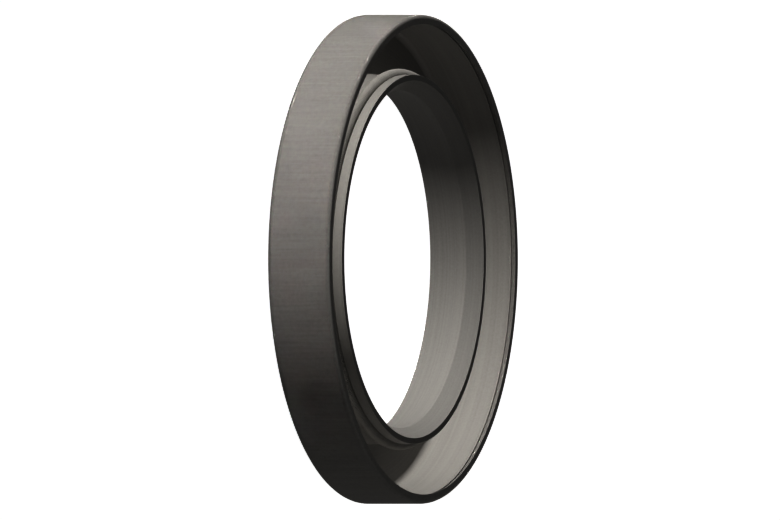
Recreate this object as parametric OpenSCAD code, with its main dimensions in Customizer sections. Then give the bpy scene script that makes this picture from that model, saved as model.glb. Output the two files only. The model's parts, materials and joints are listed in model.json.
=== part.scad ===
// Grease seal for a wheel hub: a pressed steel case, a rubber lip moulded into it and a garter spring.
// The seal lies on its back face. The origin is the centre of that face and +Z runs along the shaft,
// towards the open side that faces the grease. Every piece is turned from one section about Z.

/* [Fit] */
// Diameter of the shaft that the lip runs on
shaft_d = 50; // [40:0.5:55]
// Outside diameter of the case, pressed into the housing
case_d = 72; // [66:0.5:90]
// Width of the seal along the shaft
width = 10; // [9.4:0.1:14]
// How far the free lip stands inside the shaft's surface
lip_interference = 0.13; // [0:0.01:0.4]

/* [Steel case] */
// Thickness of the pressed sheet
case_sheet = 0.95; // [0.6:0.05:1.2]
// Outside round between the wall and the rear flange
rear_round = 1.1; // [0.4:0.05:1.6]
// Inside bend between the wall and the rear flange
inner_bend = 0.3; // [0.1:0.05:0.6]
// Outside round at the front rim, which leads the case into its housing
rim_round = 0.6; // [0.2:0.05:0.8]
// Depth below the front face at which the rim starts to turn in
rim_depth = 0.74; // [0.4:0.02:1]
// How far the rim turns in past the inside of the wall
rim_reach = 0.42; // [0.1:0.01:0.5]

/* [Rubber moulding] */
// Thickness of the rubber skin on the inside of the case's wall
wall_skin = 0.25; // [0.2:0.01:0.6]
// Thickness of the rubber skin on the case's rear flange
floor_skin = 0.4; // [0.2:0.01:0.8]
// Hollow round where the two skins meet
skin_fillet = 0.92; // [0.3:0.02:1.2]
// Hollow round where the lip rises from the skin
root_fillet = 0.2; // [0.1:0.05:1]
// Width of the heel that grips the flange's inner edge, outside the lip
heel_grip = 0.9; // [0.6:0.05:2]

/* [Sealing lip] */
// Thickness of the lip from its sealing edge to its outer face
lip_thickness = 2.33; // [1.8:0.01:3]
// Height of the sealing edge above the back face
edge_height = 6.1; // [5:0.05:6.8]
// Width of the band where the trimmed edge touches the shaft
contact_band = 0.25; // [0.1:0.05:0.5]
// Height of the lip's end above the sealing edge
nose_height = 2.35; // [1.6:0.05:2.6]
// Width of the flat end of the lip
nose_face = 0.85; // [0.4:0.05:1.4]
// How far the bore opens from the sealing edge to the back face
rear_flare = 1.2; // [0.4:0.05:1.5]

/* [Garter spring] */
// Outside diameter of the spring's close-wound coil
coil_d = 1.7; // [1:0.02:2]
// How far the coil's centre stands out from the lip's outer face
coil_stand = 0.05; // [0:0.01:0.4]
// Height of the coil's centre above the sealing edge
coil_offset = -0.07; // [-0.5:0.01:0.5]
// Gap between the coil and its groove
coil_clearance = 0.02; // [0.01:0.01:0.1]

/* [Hidden] */
$fn = 180;

// Radii of the case, from the outside in
case_r = case_d / 2;
wall_r = case_r - case_sheet;
rim_r = wall_r - rim_reach;
skin_r = wall_r - wall_skin;

// Radii of the lip, from the shaft out
edge_r = shaft_d / 2 - lip_interference;
bore_r = edge_r + rear_flare;
lip_r = edge_r + lip_thickness;
nose_r = lip_r - nose_face;
flange_r = lip_r + heel_grip;
coil_r = lip_r + coil_stand;

// Heights above the back face
floor_z = case_sheet + floor_skin;
rim_z = width - rim_depth;
nose_z = edge_height + nose_height;
coil_z = edge_height + coil_offset;

// How far a corner piece runs on past its corner, to cut or join cleanly
corner_run = 0.1;

// The piece between a sharp corner and its round: side gives the signs of the directions
// from the corner to the round's centre. Taken away it rounds an edge, added it fills a hollow.
module corner_piece(at, side, radius) {
    across = radius + corner_run;
    low = [for (i = [0, 1]) side[i] > 0 ? at[i] - corner_run : at[i] - radius];
    difference() {
        translate(low) square(across);
        translate(at + side * radius) circle(radius);
    }
}

// Section of the sheet: flange, wall and the rim that turns in over the rubber skin
module case_section() {
    difference() {
        union() {
            polygon([
                [flange_r, 0],
                [case_r, 0],
                [case_r, width],
                [rim_r, width],
                [wall_r, rim_z],
                [wall_r, case_sheet],
                [flange_r, case_sheet],
            ]);
            corner_piece([wall_r, case_sheet], [-1, 1], inner_bend);
        }
        corner_piece([case_r, 0], [-1, 1], rear_round);
        corner_piece([case_r, width], [-1, -1], rim_round);
    }
}

// Section of the moulding: heel, sealing edge, nose, spring groove and the skin inside the case
module rubber_section() {
    difference() {
        union() {
            polygon([
                [bore_r, 0],
                [flange_r, 0],
                [flange_r, case_sheet],
                [wall_r, case_sheet],
                [wall_r, rim_z],
                [skin_r, rim_z],
                [skin_r, floor_z],
                [lip_r, floor_z],
                [lip_r, nose_z],
                [nose_r, nose_z],
                [edge_r, edge_height + contact_band / 2],
                [edge_r, edge_height - contact_band / 2],
            ]);
            corner_piece([skin_r, floor_z], [-1, 1], skin_fillet);
            corner_piece([lip_r, floor_z], [1, 1], root_fillet);
        }
        corner_piece([wall_r, case_sheet], [-1, 1], inner_bend);
        translate([coil_r, coil_z]) circle(coil_d / 2 + coil_clearance);
    }
}

// Pressed steel case
module steel_case() {
    color("#96928b") rotate_extrude() case_section();
}

// Rubber lip with its heel and skin, one moulding bonded to the case
module rubber_lip() {
    color("#8b8883") rotate_extrude() rubber_section();
}

// Garter spring: the outer form of a close-wound coil, joined into a ring
module garter_spring() {
    color("#9a968e") rotate_extrude() translate([coil_r, coil_z]) circle(coil_d / 2);
}

steel_case();
rubber_lip();
garter_spring();
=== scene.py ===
# %% [markdown]
# # A grease seal, piece by piece
# A grease seal closes the gap between a shaft and the hub that turns on it. A pressed steel case sits
# tight in the hub, a rubber lip moulded into the case rubs on the shaft, and a garter spring keeps the
# lip closed. The solids come from CAD at their real size, with the seal lying on its back face and the
# shaft along Z. In this lesson each of them gets the surface that the eye sees. None is moved or resized.

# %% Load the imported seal
import json
import math

import bpy
import numpy as np
from mathutils import Matrix, Vector


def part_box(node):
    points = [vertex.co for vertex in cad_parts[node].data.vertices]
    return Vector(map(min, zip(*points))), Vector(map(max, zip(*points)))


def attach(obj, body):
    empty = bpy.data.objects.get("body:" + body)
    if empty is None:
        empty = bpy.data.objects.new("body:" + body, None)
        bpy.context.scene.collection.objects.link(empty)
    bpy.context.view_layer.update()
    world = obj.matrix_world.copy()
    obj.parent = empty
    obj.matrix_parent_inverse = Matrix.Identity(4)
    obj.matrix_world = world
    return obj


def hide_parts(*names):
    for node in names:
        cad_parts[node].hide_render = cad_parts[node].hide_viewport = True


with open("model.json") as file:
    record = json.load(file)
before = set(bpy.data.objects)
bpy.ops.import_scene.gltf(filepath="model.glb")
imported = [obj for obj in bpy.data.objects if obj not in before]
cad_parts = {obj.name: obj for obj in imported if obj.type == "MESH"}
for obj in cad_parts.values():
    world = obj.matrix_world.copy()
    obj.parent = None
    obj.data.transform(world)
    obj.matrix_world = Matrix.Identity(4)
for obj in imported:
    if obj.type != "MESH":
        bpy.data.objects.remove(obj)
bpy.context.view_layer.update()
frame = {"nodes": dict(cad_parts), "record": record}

MM = 0.001
print("CAD nodes:", sorted(frame["nodes"]))

# %% [markdown]
# ## Sizes
# A surface that stands for a CAD node has to fill the same room. So the large sizes are read from the
# nodes' boxes and from the record's mounts, and only the small ones, such as rounds and skins, are
# written down beside the piece that has them. All are millimetres, as on a drawing of a seal.

# %% Read the large sizes from the frame
def corners_mm(name):
    """Lowest and highest corner of a CAD node, in millimetres."""
    return np.array([list(corner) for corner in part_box(name)]) / MM


_, case_top = corners_mm("steel_case")
_, rubber_top = corners_mm("rubber_lip")
coil_bottom, coil_top = corners_mm("garter_spring")
shaft_bore = {mount["name"]: mount for mount in frame["record"]["mounts"]}["shaft_bore"]

case_r, width = case_top[0], case_top[2]
wall_r, rim_z = rubber_top[0], rubber_top[2]
edge_r, contact_band = shaft_bore["dims"]["r_mm"], shaft_bore["dims"]["length_mm"]
edge_z = shaft_bore["pos_m"][2] / MM
coil_tube_r = (coil_top[2] - coil_bottom[2]) / 2
coil_r = coil_top[0] - coil_tube_r
coil_z = (coil_top[2] + coil_bottom[2]) / 2
case_sheet = case_r - wall_r
print(f"case {2 * case_r:.2f} x {width:.2f} mm of {case_sheet:.2f} mm sheet")
print(f"sealing edge {2 * edge_r:.2f} mm across, spring {2 * coil_r:.2f} mm across its coil's middle")

# %% [markdown]
# ## The steel case
# The case is a cup drawn from sheet, with its middle punched out. The rear corner has the draw die's
# round. The front rim is rounded to start in the hub, and it is turned in a little over the end of the
# rubber lining. Everything on a seal is turned, so the case is drawn as one section: the corners of its
# outline, counter-clockwise, each with its distance from the shaft's axis, its height and its round.
# A real edge is never quite sharp, and it is the small round on it that catches the light.

# %% Draw the section of the case
REAR_ROUND = 1.1
INNER_BEND = 0.3
RIM_ROUND = 0.6
RIM_REACH = 0.42
BROKEN_EDGE = 0.06
CUT_EDGE = 0.03
LIP_THICKNESS = 2.33
HEEL_GRIP = 0.9

lip_r = edge_r + LIP_THICKNESS
flange_r = lip_r + HEEL_GRIP
case_corners = [
    (flange_r, 0, BROKEN_EDGE),
    (case_r, 0, REAR_ROUND),
    (case_r, width, RIM_ROUND),
    (wall_r - RIM_REACH, width, CUT_EDGE),
    (wall_r, rim_z, CUT_EDGE),
    (wall_r, case_sheet, INNER_BEND),
    (flange_r, case_sheet, BROKEN_EDGE),
]
print(f"case section: flange {case_r - flange_r:.2f} mm wide, rim turned in by {RIM_REACH} mm")

# %% [markdown]
# ## Rounded corners
# One formula rounds all the corners at once and gives the points of the outline and the directions they
# face. A Bevel modifier could round a sharp mesh too, but each edge would then need a weight of its own.

# %% Round an outline
def rounded_outline(corners, steps=6):
    """Points and outward normals of a closed outline whose corners are rounded.

    Each row of corners is (r, z, radius), and they run counter-clockwise. The outline turns at a corner
    by the angle between the directions in and out. The arc starts radius * tan(turn / 2) before the
    corner, and the point and its normal then swing through that turn about a centre one radius aside.
    """
    corners = np.asarray(corners, float)
    spot, radius = corners[:, :2], corners[:, 2]
    side = spot - np.roll(spot, 1, axis=0)
    length = np.linalg.norm(side, axis=1)
    into = side / length[:, None]
    out = np.roll(into, -1, axis=0)
    turn = np.arctan2(into[:, 0] * out[:, 1] - into[:, 1] * out[:, 0], (into * out).sum(axis=1))
    cut = radius * np.tan(np.abs(turn) / 2)
    facing = np.stack([into[:, 1], -into[:, 0]], axis=1)
    signed_radius = np.sign(turn) * radius
    centre = spot - into * cut[:, None] - facing * signed_radius[:, None]
    swing = turn[:, None] * np.linspace(0, 1, steps + 1)
    across, along = facing[:, :1], facing[:, 1:]
    normal = np.stack([across * np.cos(swing) - along * np.sin(swing),
                       across * np.sin(swing) + along * np.cos(swing)], axis=-1)
    points = centre[:, None] + signed_radius[:, None, None] * normal
    straight = length - cut - np.roll(cut, 1)
    print(f"outline of {len(corners)} corners, shortest straight between rounds {straight.min():.3f} mm")
    return points.reshape(-1, 2), normal.reshape(-1, 2)


case_outline, case_facing = rounded_outline(case_corners)

# %% [markdown]
# ## Round the shaft
# A point of the section keeps its distance from the axis and its height, and goes round in a circle. Its
# normal goes round in the same way, so one function carries them both. The Screw modifier would turn a
# section as well, but it would guess the normals.

# %% Carry the section round the shaft
COLUMNS = 600


def swept(profile):
    """A section carried round Z: row u, column v is the section's point u turned through the angle v."""
    angle = np.linspace(0, 2 * np.pi, COLUMNS, endpoint=False)
    circle = np.stack([np.cos(angle), np.sin(angle)], axis=1)
    level = np.broadcast_to(profile[:, None, 1:], (len(profile), COLUMNS, 1))
    return np.concatenate([profile[:, None, :1] * circle, level], axis=2)


case_grid = swept(case_outline)
print(f"case grid of {case_grid.shape[0]} rows and {case_grid.shape[1]} columns")

# %% [markdown]
# ## From a grid to a mesh
# A closed section turned through a full circle makes a grid that closes on itself both ways, like a
# tyre's tube. The wire of a spring makes such a grid too, so one function skins them all. The normals
# are known from the formula, so they are handed to the mesh, and flat faces stay flat right up to their
# rounds. The finished piece rides with the seal and is shown in place of its CAD node.

# %% Skin the steel case
def closed_grid(name, points, normals):
    """Object skinned over a grid of points, in mm, that closes on itself along its rows and columns.

    Each quad joins a point to the next column, the next row and the point across. The volume printed is
    the sum, over the quads a b c d, of a . (b x c + c x d) / 6. It is positive when faces point outwards.
    """
    index = np.arange(points.shape[0] * points.shape[1]).reshape(points.shape[:2])
    across, up = np.roll(index, -1, axis=1), np.roll(index, -1, axis=0)
    quads = np.stack([index, across, np.roll(up, -1, axis=1), up], axis=-1).reshape(-1, 4)
    flat = points.reshape(-1, 3)
    mesh = bpy.data.meshes.new(name)
    mesh.from_pydata(flat * MM, [], quads)
    mesh.shade_smooth()
    mesh.normals_split_custom_set_from_vertices(normals.reshape(-1, 3))
    piece = bpy.data.objects.new(name, mesh)
    bpy.context.scene.collection.objects.link(piece)
    a, b, c, d = (flat[quads[:, k]] for k in range(4))
    volume = (a * (np.cross(b, c) + np.cross(c, d))).sum() / 6
    print(f"{name}: {2 * len(quads)} triangles, {volume:.0f} mm3")
    return piece


def stands_for(piece, cad_node):
    """The piece rides with the seal and shows in place of a CAD node."""
    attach(piece, "root")
    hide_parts(cad_node)


case_ring = closed_grid("case_ring", case_grid, swept(case_facing))
stands_for(case_ring, "steel_case")

# %% [markdown]
# ## The rubber lip
# The rubber is moulded in one go: a heel around the punched edge of the case, a lip whose bore narrows
# to the sealing edge from both sides, and a thin skin over the inside of the case. The spring's groove
# is a notch with full rounds. Where rubber is bonded to steel the edges keep only a trace of a round.

# %% Turn the rubber lip
WALL_SKIN = 0.25
FLOOR_SKIN = 0.4
SKIN_FILLET = 0.92
ROOT_FILLET = 0.2
NOSE_HEIGHT = 2.35
NOSE_FACE = 0.85
REAR_FLARE = 1.2
TRIMMED_EDGE = 0.03
BONDED_EDGE = 0.02
GROOVE_CLEARANCE = 0.02

floor_z = case_sheet + FLOOR_SKIN
nose_z = edge_z + NOSE_HEIGHT
groove_bottom_r = coil_r - coil_tube_r - GROOVE_CLEARANCE
groove_half = coil_tube_r + GROOVE_CLEARANCE
groove_round = lip_r - groove_bottom_r - BROKEN_EDGE - GROOVE_CLEARANCE
lip_outline, lip_facing = rounded_outline([
    (edge_r + REAR_FLARE, 0, BROKEN_EDGE),
    (flange_r, 0, BONDED_EDGE),
    (flange_r, case_sheet, BROKEN_EDGE),
    (wall_r, case_sheet, INNER_BEND),
    (wall_r, rim_z, BONDED_EDGE),
    (wall_r - WALL_SKIN, rim_z, BROKEN_EDGE),
    (wall_r - WALL_SKIN, floor_z, SKIN_FILLET),
    (lip_r, floor_z, ROOT_FILLET),
    (lip_r, coil_z - groove_half, BROKEN_EDGE),
    (groove_bottom_r, coil_z - groove_half, groove_round),
    (groove_bottom_r, coil_z + groove_half, groove_round),
    (lip_r, coil_z + groove_half, BROKEN_EDGE),
    (lip_r, nose_z, BROKEN_EDGE),
    (lip_r - NOSE_FACE, nose_z, BROKEN_EDGE),
    (edge_r, edge_z + contact_band / 2, TRIMMED_EDGE),
    (edge_r, edge_z - contact_band / 2, TRIMMED_EDGE),
])
lip_moulding = closed_grid("lip_moulding", swept(lip_outline), swept(lip_facing))
stands_for(lip_moulding, "rubber_lip")

# %% [markdown]
# ## The garter spring
# A garter spring is fine wire wound close, coil against coil, and joined end to end into a ring. CAD
# keeps its outer form as a plain ring, which is what the groove has to fit. Here the wire itself is
# wound: one angle goes round the ring while another goes round the coil hundreds of times, and a circle
# is carried along that path. A curve with a bevel would do too, but it would twist on so tight a helix.

# %% Wind the garter spring
WIRE_D = 0.34
COIL_COUNT = 480
POINTS_PER_COIL = 16
WIRE_SIDES = 8


def wound_ring(name):
    """Wire of circular section on a helix that is bent into a ring.

    At ring angle p the coil angle is COIL_COUNT * p. The wire's middle is the ring's circle plus the
    winding radius times outward, the unit vector from the coil's own middle at that coil angle. Outward
    is square to the wire everywhere, and a third vector square to both completes the frame that carries
    the wire's circle.
    """
    winding_r = coil_tube_r - WIRE_D / 2
    ring = np.linspace(0, 2 * np.pi, COIL_COUNT * POINTS_PER_COIL, endpoint=False)
    coil = COIL_COUNT * ring
    zero = np.zeros_like(ring)
    radial = np.stack([np.cos(ring), np.sin(ring), zero], axis=1)
    tangent = np.stack([-np.sin(ring), np.cos(ring), zero], axis=1)
    axial = np.array([0.0, 0.0, 1.0])
    cos_coil, sin_coil = np.cos(coil)[:, None], np.sin(coil)[:, None]
    outward = cos_coil * radial + sin_coil * axial
    middle = coil_r * radial + winding_r * outward + coil_z * axial
    along = (COIL_COUNT * winding_r * (cos_coil * axial - sin_coil * radial)
             + (coil_r + winding_r * cos_coil) * tangent)
    sideways = np.cross(outward, along / np.linalg.norm(along, axis=1, keepdims=True))
    around = np.linspace(0, 2 * np.pi, WIRE_SIDES, endpoint=False)[:, None, None]
    facing = np.cos(around) * outward + np.sin(around) * sideways
    return closed_grid(name, middle + WIRE_D / 2 * facing, facing)


spring_coil = wound_ring("spring_coil")
pitch = 2 * math.pi * coil_r / COIL_COUNT
print(f"{COIL_COUNT} coils at a pitch of {pitch:.3f} mm, wire {WIRE_D} mm")
stands_for(spring_coil, "garter_spring")

# %% [markdown]
# ## Finishes
# The picture shows one warm grey all over, so the three finishes share a tone and differ in how their
# surface was made. It has no mirror in it, so the two steels are set only partly metallic. Colours are
# written as they look on a screen, and one function turns them into light before a shader gets them.
# Another adds a shader node with its settings and its links. The steel and the rubber each add two
# noises. A noise stays near one half, so the sum of two lies between about 0.6 and 1.4, and that span is
# stretched to the full range before it drives a colour or a relief.

# %% Tools for the finishes
NOISE_SUM_LOW = 0.6
NOISE_SUM_HIGH = 1.4
RELIEF_MM = 0.01
RELIEF_STRENGTH = 0.5


def linear(screen_hex):
    """Linear RGBA of an sRGB hex colour: a straight foot up to 0.04045, and a 2.4 power above it."""
    screen = np.array([int(screen_hex[k:k + 2], 16) for k in (1, 3, 5)]) / 255
    light = np.where(screen <= 0.04045, screen / 12.92, ((screen + 0.055) / 1.055) ** 2.4)
    return (*light.tolist(), 1.0)


def node(tree, kind, inputs=None, **settings):
    """A new shader node. Settings are its own properties, an input is a value or another node's output."""
    made = tree.nodes.new(kind)
    for name, value in settings.items():
        setattr(made, name, value)
    for key, value in (inputs or {}).items():
        if isinstance(value, bpy.types.NodeSocket):
            tree.links.new(value, made.inputs[key])
        else:
            made.inputs[key].default_value = value
    return made


def new_material(name):
    """An empty node material and its tree."""
    material = bpy.data.materials.new(name)
    material.use_nodes = True
    material.node_tree.nodes.clear()
    return material, material.node_tree


def dress(piece, material):
    """Give a piece its finish."""
    piece.data.materials.append(material)
    print(f"{piece.name} is dressed in {material.name}, {len(material.node_tree.nodes)} nodes")


print("a grey of #909090 sends back", round(linear("#909090")[0], 3), "of the light")

# %% [markdown]
# ### Phosphated steel
# Pressed cases are phosphated against rust. The coat is a felt of tiny crystals over bright steel, and
# the draw die leaves faint lines up the wall. An even grey would look like plastic, so two noises are
# added: a round one for the coat, and one stretched along Z for the lines. Real crystals are some 0.02 mm
# across and real lines 0.05 mm, too fine to show in a picture of the whole seal, so both are coarser here.

# %% Phosphated steel
MOTTLE_MM = 0.6
DRAW_LINE_MM = 0.45
DRAW_LINE_LENGTH_MM = 9.0


def phosphated_steel():
    """Matt and faintly mottled, with soft lines up the wall and a trace of the steel's own sheen."""
    material, tree = new_material("phosphated steel")
    where = node(tree, "ShaderNodeTexCoord").outputs["Object"]
    mottle = node(tree, "ShaderNodeTexNoise",
                  {"Vector": where, "Scale": 1 / (MOTTLE_MM * MM), "Detail": 3.0, "Roughness": 0.6})
    across, along = 1 / (DRAW_LINE_MM * MM), 1 / (DRAW_LINE_LENGTH_MM * MM)
    stretched = node(tree, "ShaderNodeMapping", {"Vector": where, "Scale": (across, across, along)})
    lines = node(tree, "ShaderNodeTexNoise", {"Vector": stretched.outputs[0], "Scale": 1.0, "Detail": 2.0})
    both = node(tree, "ShaderNodeMath", {0: mottle.outputs["Fac"], 1: lines.outputs["Fac"]}, operation="ADD")
    grain = node(tree, "ShaderNodeMapRange",
                 {"Value": both.outputs[0], "From Min": NOISE_SUM_LOW, "From Max": NOISE_SUM_HIGH})
    colour = node(tree, "ShaderNodeMix",
                  {0: grain.outputs[0], 6: linear("#8b8986"), 7: linear("#9a9895")}, data_type="RGBA")
    rough = node(tree, "ShaderNodeMapRange", {"Value": grain.outputs[0], "To Min": 0.56, "To Max": 0.72})
    bump = node(tree, "ShaderNodeBump", {
        "Height": grain.outputs[0], "Distance": RELIEF_MM * MM, "Strength": RELIEF_STRENGTH})
    shader = node(tree, "ShaderNodeBsdfPrincipled", {
        "Base Color": colour.outputs[2], "Roughness": rough.outputs[0], "Normal": bump.outputs[0],
        "Metallic": 0.12})
    node(tree, "ShaderNodeOutputMaterial", {"Surface": shader.outputs[0]})
    return material


dress(case_ring, phosphated_steel())

# %% [markdown]
# ### Moulded nitrile rubber
# Nitrile comes out of a turned steel mould. It has a dull sheen and a fine even grain, and the mould's
# own turning marks run round it as rings. The rings depend only on the distance from the axis and on
# the height, so their noise is read from those two. Real grain and marks are about 0.1 mm apart, and
# are drawn coarser here to show.

# %% Moulded nitrile rubber
GRAIN_MM = 0.3
RING_MM = 0.35


def nitrile_rubber():
    """Dull and even, with a soft sheen and no mirror in it, a fine grain and the mould's faint rings."""
    material, tree = new_material("moulded nitrile rubber")
    where = node(tree, "ShaderNodeTexCoord").outputs["Object"]
    grain = node(tree, "ShaderNodeTexNoise",
                 {"Vector": where, "Scale": 1 / (GRAIN_MM * MM), "Detail": 2.0, "Roughness": 0.55})
    flat = node(tree, "ShaderNodeVectorMath", {0: where, 1: (1.0, 1.0, 0.0)}, operation="MULTIPLY")
    radius = node(tree, "ShaderNodeVectorMath", {0: flat.outputs[0]}, operation="LENGTH")
    height = node(tree, "ShaderNodeSeparateXYZ", {0: where})
    place = node(tree, "ShaderNodeCombineXYZ", {"X": radius.outputs["Value"], "Y": height.outputs["Z"]})
    marks = node(tree, "ShaderNodeTexNoise",
                 {"Vector": place.outputs[0], "Scale": 1 / (RING_MM * MM), "Detail": 1.0},
                 noise_dimensions="2D")
    both = node(tree, "ShaderNodeMath", {0: grain.outputs["Fac"], 1: marks.outputs["Fac"]}, operation="ADD")
    relief = node(tree, "ShaderNodeMapRange",
                  {"Value": both.outputs[0], "From Min": NOISE_SUM_LOW, "From Max": NOISE_SUM_HIGH})
    colour = node(tree, "ShaderNodeMix",
                  {0: relief.outputs[0], 6: linear("#8f8d8a"), 7: linear("#979592")}, data_type="RGBA")
    bump = node(tree, "ShaderNodeBump", {
        "Height": relief.outputs[0], "Distance": RELIEF_MM * MM, "Strength": RELIEF_STRENGTH})
    shader = node(tree, "ShaderNodeBsdfPrincipled", {
        "Base Color": colour.outputs[2], "Roughness": 0.42, "Normal": bump.outputs[0], "IOR": 1.52})
    node(tree, "ShaderNodeOutputMaterial", {"Surface": shader.outputs[0]})
    return material


dress(lip_moulding, nitrile_rubber())

# %% [markdown]
# ### Drawn spring wire
# Spring wire is drawn through a die, which leaves it brighter and smoother than the pressed sheet. It is
# oiled against rust, and the film lies in patches a few coils long, so the wire's tone and shine vary
# along the ring. Each coil is a surface of its own, and needs no bump to show.

# %% Drawn spring wire
FILM_MM = 2.0


def spring_wire():
    """Satin steel, a little brighter than the case, in patches that follow the oil film."""
    material, tree = new_material("drawn spring wire")
    where = node(tree, "ShaderNodeTexCoord").outputs["Object"]
    film = node(tree, "ShaderNodeTexNoise", {"Vector": where, "Scale": 1 / (FILM_MM * MM), "Detail": 2.0})
    colour = node(tree, "ShaderNodeMix",
                  {0: film.outputs["Fac"], 6: linear("#9e9c99"), 7: linear("#afada9")}, data_type="RGBA")
    rough = node(tree, "ShaderNodeMapRange", {"Value": film.outputs["Fac"], "To Min": 0.5, "To Max": 0.65})
    shader = node(tree, "ShaderNodeBsdfPrincipled", {
        "Base Color": colour.outputs[2], "Roughness": rough.outputs[0], "Metallic": 0.3})
    node(tree, "ShaderNodeOutputMaterial", {"Surface": shader.outputs[0]})
    return material


dress(spring_coil, spring_wire())

# %% [markdown]
# ## Floor
# The seal lies on a light table, a pale sheet that glows evenly, so that the ground around it stays white
# as in the picture. A glowing floor would also light the seal from below and wash out its dark side. So
# it is hidden from light that bounces off the seal, and only the camera sees it. It lies a hair's breadth
# below the back face, because two faces in one place would flicker.

# %% Lay the floor
FLOOR_HALF_MM = 3000.0
FLOOR_GAP_MM = 0.02
FLOOR_GLOW = 0.96


def pale_floor():
    """Even and white, with no shade on it, as the ground in the picture."""
    material, tree = new_material("pale light table")
    shader = node(tree, "ShaderNodeBsdfPrincipled", {
        "Base Color": linear("#a0a0a0"), "Roughness": 0.9, "Specular IOR Level": 0.0,
        "Emission Color": linear("#ffffff"), "Emission Strength": FLOOR_GLOW})
    node(tree, "ShaderNodeOutputMaterial", {"Surface": shader.outputs[0]})
    return material


floor_mesh = bpy.data.meshes.new("floor")
floor_corners = np.array([(-1, -1, 0), (1, -1, 0), (1, 1, 0), (-1, 1, 0)]) * FLOOR_HALF_MM
floor_mesh.from_pydata((floor_corners - (0, 0, FLOOR_GAP_MM)) * MM, [], [(0, 1, 2, 3)])
floor = bpy.data.objects.new("floor", floor_mesh)
floor.visible_diffuse = False
floor.visible_glossy = False
bpy.context.scene.collection.objects.link(floor)
dress(floor, pale_floor())

# %% [markdown]
# ## Light
# The picture has no cast shadows: its light comes level, from the upper left of the picture, and reaches
# into the ring. So the lamps cast none on the case and the lip. A key lamp lights the side that shows, a
# far lamp the side behind, and three weak lamps all round fill the hollow between the lip and the wall.
# The picture has no highlights either, and a lamp behind the seal would draw bright lines along its
# edges, so these lamps leave no glint. A softbox straight above does nothing but glint: it shines in the
# upper faces, which are dark in the picture, for someone who looks down on them.
# The spring needs the shade between its coils, so it has a key and a far lamp of its own that only it
# can block. Light linking keeps the two sets apart.
# The picture's greys rise evenly with the light, where a screen's curve would lift the middle ones. The
# curve is close to a power of 1 / 2.2, so a gamma of that value takes the lift back.

# %% Light the seal
KEY_FROM = Vector((-0.835, -0.549, 0.0))
KEY_STRENGTH = 5.9
FAR_FROM = Vector((0.0, 1.0, 0.0))
FAR_STRENGTH = 4.0
FILL_COUNT = 3
FILL_STRENGTH = 0.72
LEVEL_SOFTNESS = 0.05
SOFTBOX_FROM = Vector((0.0, 0.0, 1.0))
SOFTBOX_STRENGTH = 2.2
SOFTBOX_SOFTNESS = 0.5
ROOM_LIGHT = 0.25
EVEN_GREYS_GAMMA = 1 / 2.2

scene = bpy.context.scene
scene.view_settings.view_transform = "Standard"
scene.view_settings.gamma = EVEN_GREYS_GAMMA
scene.world = bpy.data.worlds.new("studio")
scene.world.use_nodes = True
room = scene.world.node_tree.nodes["Background"]
room.inputs["Color"].default_value = linear("#ffffff")
room.inputs["Strength"].default_value = ROOM_LIGHT


def sun(name, comes_from, strength, softness=LEVEL_SOFTNESS, glint=False):
    """A distant lamp, without shadow until it is given one. Strength in W/m2, softness in radians."""
    light = bpy.data.lights.new(name, "SUN")
    light.energy = strength
    light.angle = softness
    light.use_shadow = False
    lamp = bpy.data.objects.new(name, light)
    lamp.rotation_euler = comes_from.to_track_quat("Z", "Y").to_euler()
    lamp.visible_glossy = glint
    scene.collection.objects.link(lamp)
    print(f"lamp {name}: {strength} W/m2 from {tuple(round(part, 3) for part in comes_from)}")
    return lamp


def listed(name, pieces):
    """A collection that isn't in the scene and only lists pieces for a lamp."""
    collection = bpy.data.collections.new(name)
    for piece in pieces:
        collection.objects.link(piece)
    return collection


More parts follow.
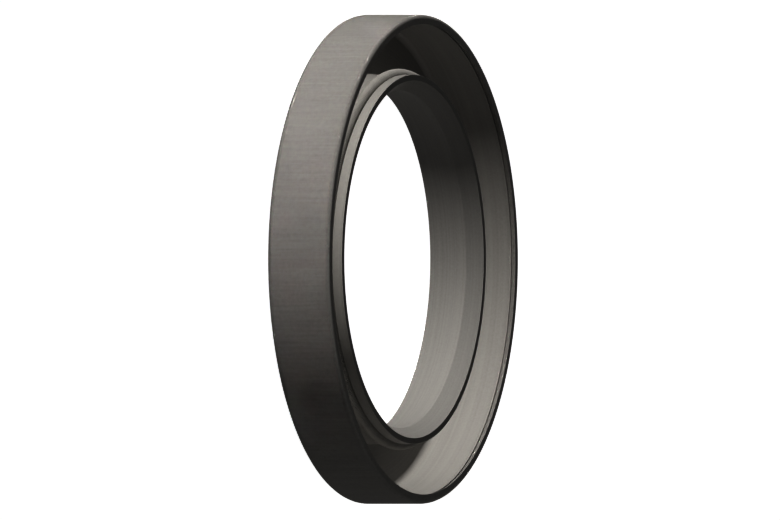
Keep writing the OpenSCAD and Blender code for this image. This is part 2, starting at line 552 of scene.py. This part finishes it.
rings = listed("rings", [case_ring, lip_moulding])
coils = listed("coils", [spring_coil])
for side, comes_from, strength in (("key", KEY_FROM, KEY_STRENGTH), ("far", FAR_FROM, FAR_STRENGTH)):
    ring_lamp = sun(side + "_on_rings", comes_from, strength)
    ring_lamp.light_linking.receiver_collection = rings
    coil_lamp = sun(side + "_on_coils", comes_from, strength)
    coil_lamp.light_linking.receiver_collection = coils
    coil_lamp.light_linking.blocker_collection = coils
    coil_lamp.data.use_shadow = True
for number in range(FILL_COUNT):
    turn = 2 * math.pi * number / FILL_COUNT
    sun(f"fill_{number}", Vector((math.cos(turn), math.sin(turn), 0.0)), FILL_STRENGTH)
softbox = sun("softbox", SOFTBOX_FROM, SOFTBOX_STRENGTH, SOFTBOX_SOFTNESS, glint=True)
softbox.visible_diffuse = False
softbox.light_linking.receiver_collection = rings

# %% [markdown]
# ## Camera
# The picture is a parallel projection, 67 degrees off the shaft's axis. It shows the seal on edge, with
# the axis level. A seal at rest lies on its back, so the camera looks across it from low over the floor
# and is turned a quarter about its own line of sight, and the seal fills the picture as before.

# %% Set the camera
PICTURE_W, PICTURE_H = 780, 520
CASE_R_PX = 244.4
BACK_CENTRE_PX = (360.7, 258.8)
AXIS_FORESHORTENING = 0.39
CAMERA_DISTANCE_MM = 400.0

mm_per_px = case_r / CASE_R_PX
off_axis = math.acos(AXIS_FORESHORTENING)
toward_viewer = Vector((0, -math.sin(off_axis), math.cos(off_axis)))
picture_right = Vector((0, math.cos(off_axis), math.sin(off_axis)))
picture_up = Vector((-1, 0, 0))
right_px = (PICTURE_W - 1) / 2 - BACK_CENTRE_PX[0]
down_px = (PICTURE_H - 1) / 2 - BACK_CENTRE_PX[1]
aim = (picture_right * right_px - picture_up * down_px) * mm_per_px * MM

camera_data = bpy.data.cameras.new("camera")
camera_data.type = "ORTHO"
camera_data.ortho_scale = PICTURE_W * mm_per_px * MM
camera = bpy.data.objects.new("camera", camera_data)
camera.matrix_world = Matrix.Translation(aim + toward_viewer * CAMERA_DISTANCE_MM * MM) @ Matrix(
    (picture_right, picture_up, toward_viewer)).transposed().to_4x4()
scene.collection.objects.link(camera)
scene.camera = camera
print(f"camera {90 - math.degrees(off_axis):.1f} degrees above the floor, {mm_per_px:.4f} mm a pixel")
